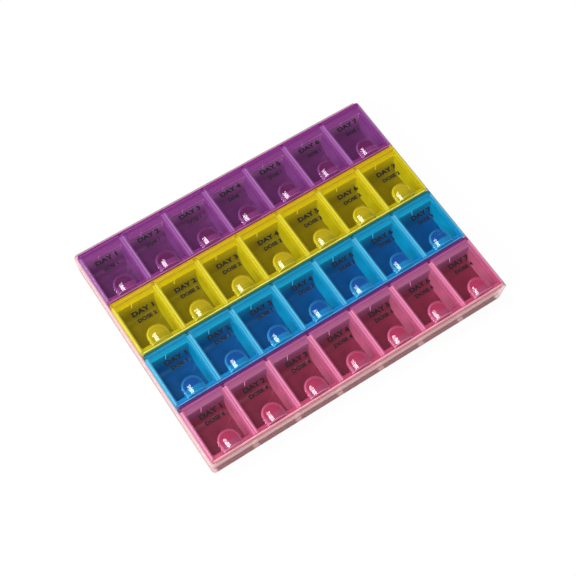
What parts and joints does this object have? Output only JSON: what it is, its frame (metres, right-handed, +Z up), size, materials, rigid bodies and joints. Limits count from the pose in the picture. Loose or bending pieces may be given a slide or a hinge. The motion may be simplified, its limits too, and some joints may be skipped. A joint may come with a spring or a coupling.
{
  "type": "weekly pill organizer tray",
  "caption": "Clear shallow tray holding lift-out strips of pill compartments, each compartment closed by its own hinged lid with a raised thumb hood.",
  "frame": {"origin": "centre of the tray's underside, on the surface that it rests on", "axes": "+X runs along the strips through the columns, +Y from the front strip to the back one, where the lids' hinges are, +Z up"},
  "size_m": [0.1712, 0.13, 0.0178],
  "materials": {
    "clear_tray": "clear, glossy",
    "purple_plastic": "translucent, glossy",
    "yellow_plastic": "translucent, glossy",
    "blue_plastic": "translucent, glossy",
    "pink_plastic": "translucent, glossy"
  },
  "bodies": {
    "tray": {"tray": "clear_tray"},
    "purple_strip": {"purple_strip": "purple_plastic"},
    "yellow_strip": {"yellow_strip": "yellow_plastic"},
    "blue_strip": {"blue_strip": "blue_plastic"},
    "pink_strip": {"pink_strip": "pink_plastic"},
    "purple_lid_1": {"purple_lid_1": "purple_plastic"},
    "purple_lid_2": {"purple_lid_2": "purple_plastic"},
    "purple_lid_3": {"purple_lid_3": "purple_plastic"},
    "purple_lid_4": {"purple_lid_4": "purple_plastic"},
    "purple_lid_5": {"purple_lid_5": "purple_plastic"},
    "purple_lid_6": {"purple_lid_6": "purple_plastic"},
    "purple_lid_7": {"purple_lid_7": "purple_plastic"},
    "yellow_lid_1": {"yellow_lid_1": "yellow_plastic"},
    "yellow_lid_2": {"yellow_lid_2": "yellow_plastic"},
    "yellow_lid_3": {"yellow_lid_3": "yellow_plastic"},
    "yellow_lid_4": {"yellow_lid_4": "yellow_plastic"},
    "yellow_lid_5": {"yellow_lid_5": "yellow_plastic"},
    "yellow_lid_6": {"yellow_lid_6": "yellow_plastic"},
    "yellow_lid_7": {"yellow_lid_7": "yellow_plastic"},
    "blue_lid_1": {"blue_lid_1": "blue_plastic"},
    "blue_lid_2": {"blue_lid_2": "blue_plastic"},
    "blue_lid_3": {"blue_lid_3": "blue_plastic"},
    "blue_lid_4": {"blue_lid_4": "blue_plastic"},
    "blue_lid_5": {"blue_lid_5": "blue_plastic"},
    "blue_lid_6": {"blue_lid_6": "blue_plastic"},
    "blue_lid_7": {"blue_lid_7": "blue_plastic"},
    "pink_lid_1": {"pink_lid_1": "pink_plastic"},
    "pink_lid_2": {"pink_lid_2": "pink_plastic"},
    "pink_lid_3": {"pink_lid_3": "pink_plastic"},
    "pink_lid_4": {"pink_lid_4": "pink_plastic"},
    "pink_lid_5": {"pink_lid_5": "pink_plastic"},
    "pink_lid_6": {"pink_lid_6": "pink_plastic"},
    "pink_lid_7": {"pink_lid_7": "pink_plastic"}
  },
  "joints": [
    {"name": "purple_strip_lift", "type": "slide", "parent": "tray", "child": "purple_strip", "axis": [0, 0, 1], "range_m": [0, 0.03]},
    {"name": "yellow_strip_lift", "type": "slide", "parent": "tray", "child": "yellow_strip", "axis": [0, 0, 1], "range_m": [0, 0.03]},
    {"name": "blue_strip_lift", "type": "slide", "parent": "tray", "child": "blue_strip", "axis": [0, 0, 1], "range_m": [0, 0.03]},
    {"name": "pink_strip_lift", "type": "slide", "parent": "tray", "child": "pink_strip", "axis": [0, 0, 1], "range_m": [0, 0.03]},
    {"name": "purple_lid_1_hinge", "type": "hinge", "parent": "purple_strip", "child": "purple_lid_1", "pos_m": [-0.072, 0.06225, 0.0144], "axis": [-1, 0, 0], "range_deg": [0, 100]},
    {"name": "purple_lid_2_hinge", "type": "hinge", "parent": "purple_strip", "child": "purple_lid_2", "pos_m": [-0.048, 0.06225, 0.0144], "axis": [-1, 0, 0], "range_deg": [0, 100]},
    {"name": "purple_lid_3_hinge", "type": "hinge", "parent": "purple_strip", "child": "purple_lid_3", "pos_m": [-0.024, 0.06225, 0.0144], "axis": [-1, 0, 0], "range_deg": [0, 100]},
    {"name": "purple_lid_4_hinge", "type": "hinge", "parent": "purple_strip", "child": "purple_lid_4", "pos_m": [0, 0.06225, 0.0144], "axis": [-1, 0, 0], "range_deg": [0, 100]},
    {"name": "purple_lid_5_hinge", "type": "hinge", "parent": "purple_strip", "child": "purple_lid_5", "pos_m": [0.024, 0.06225, 0.0144], "axis": [-1, 0, 0], "range_deg": [0, 100]},
    {"name": "purple_lid_6_hinge", "type": "hinge", "parent": "purple_strip", "child": "purple_lid_6", "pos_m": [0.048, 0.06225, 0.0144], "axis": [-1, 0, 0], "range_deg": [0, 100]},
    {"name": "purple_lid_7_hinge", "type": "hinge", "parent": "purple_strip", "child": "purple_lid_7", "pos_m": [0.072, 0.06225, 0.0144], "axis": [-1, 0, 0], "range_deg": [0, 100]},
    {"name": "yellow_lid_1_hinge", "type": "hinge", "parent": "yellow_strip", "child": "yellow_lid_1", "pos_m": [-0.072, 0.03045, 0.0144], "axis": [-1, 0, 0], "range_deg": [0, 100]},
    {"name": "yellow_lid_2_hinge", "type": "hinge", "parent": "yellow_strip", "child": "yellow_lid_2", "pos_m": [-0.048, 0.03045, 0.0144], "axis": [-1, 0, 0], "range_deg": [0, 100]},
    {"name": "yellow_lid_3_hinge", "type": "hinge", "parent": "yellow_strip", "child": "yellow_lid_3", "pos_m": [-0.024, 0.03045, 0.0144], "axis": [-1, 0, 0], "range_deg": [0, 100]},
    {"name": "yellow_lid_4_hinge", "type": "hinge", "parent": "yellow_strip", "child": "yellow_lid_4", "pos_m": [0, 0.03045, 0.0144], "axis": [-1, 0, 0], "range_deg": [0, 100]},
    {"name": "yellow_lid_5_hinge", "type": "hinge", "parent": "yellow_strip", "child": "yellow_lid_5", "pos_m": [0.024, 0.03045, 0.0144], "axis": [-1, 0, 0], "range_deg": [0, 100]},
    {"name": "yellow_lid_6_hinge", "type": "hinge", "parent": "yellow_strip", "child": "yellow_lid_6", "pos_m": [0.048, 0.03045, 0.0144], "axis": [-1, 0, 0], "range_deg": [0, 100]},
    {"name": "yellow_lid_7_hinge", "type": "hinge", "parent": "yellow_strip", "child": "yellow_lid_7", "pos_m": [0.072, 0.03045, 0.0144], "axis": [-1, 0, 0], "range_deg": [0, 100]},
    {"name": "blue_lid_1_hinge", "type": "hinge", "parent": "blue_strip", "child": "blue_lid_1", "pos_m": [-0.072, -0.00135, 0.0144], "axis": [-1, 0, 0], "range_deg": [0, 100]},
    {"name": "blue_lid_2_hinge", "type": "hinge", "parent": "blue_strip", "child": "blue_lid_2", "pos_m": [-0.048, -0.00135, 0.0144], "axis": [-1, 0, 0], "range_deg": [0, 100]},
    {"name": "blue_lid_3_hinge", "type": "hinge", "parent": "blue_strip", "child": "blue_lid_3", "pos_m": [-0.024, -0.00135, 0.0144], "axis": [-1, 0, 0], "range_deg": [0, 100]},
    {"name": "blue_lid_4_hinge", "type": "hinge", "parent": "blue_strip", "child": "blue_lid_4", "pos_m": [0, -0.00135, 0.0144], "axis": [-1, 0, 0], "range_deg": [0, 100]},
    {"name": "blue_lid_5_hinge", "type": "hinge", "parent": "blue_strip", "child": "blue_lid_5", "pos_m": [0.024, -0.00135, 0.0144], "axis": [-1, 0, 0], "range_deg": [0, 100]},
    {"name": "blue_lid_6_hinge", "type": "hinge", "parent": "blue_strip", "child": "blue_lid_6", "pos_m": [0.048, -0.00135, 0.0144], "axis": [-1, 0, 0], "range_deg": [0, 100]},
    {"name": "blue_lid_7_hinge", "type": "hinge", "parent": "blue_strip", "child": "blue_lid_7", "pos_m": [0.072, -0.00135, 0.0144], "axis": [-1, 0, 0], "range_deg": [0, 100]},
    {"name": "pink_lid_1_hinge", "type": "hinge", "parent": "pink_strip", "child": "pink_lid_1", "pos_m": [-0.072, -0.03315, 0.0144], "axis": [-1, 0, 0], "range_deg": [0, 100]},
    {"name": "pink_lid_2_hinge", "type": "hinge", "parent": "pink_strip", "child": "pink_lid_2", "pos_m": [-0.048, -0.03315, 0.0144], "axis": [-1, 0, 0], "range_deg": [0, 100]},
    {"name": "pink_lid_3_hinge", "type": "hinge", "parent": "pink_strip", "child": "pink_lid_3", "pos_m": [-0.024, -0.03315, 0.0144], "axis": [-1, 0, 0], "range_deg": [0, 100]},
    {"name": "pink_lid_4_hinge", "type": "hinge", "parent": "pink_strip", "child": "pink_lid_4", "pos_m": [0, -0.03315, 0.0144], "axis": [-1, 0, 0], "range_deg": [0, 100]},
    {"name": "pink_lid_5_hinge", "type": "hinge", "parent": "pink_strip", "child": "pink_lid_5", "pos_m": [0.024, -0.03315, 0.0144], "axis": [-1, 0, 0], "range_deg": [0, 100]},
    {"name": "pink_lid_6_hinge", "type": "hinge", "parent": "pink_strip", "child": "pink_lid_6", "pos_m": [0.048, -0.03315, 0.0144], "axis": [-1, 0, 0], "range_deg": [0, 100]},
    {"name": "pink_lid_7_hinge", "type": "hinge", "parent": "pink_strip", "child": "pink_lid_7", "pos_m": [0.072, -0.03315, 0.0144], "axis": [-1, 0, 0], "range_deg": [0, 100]}
  ]
}
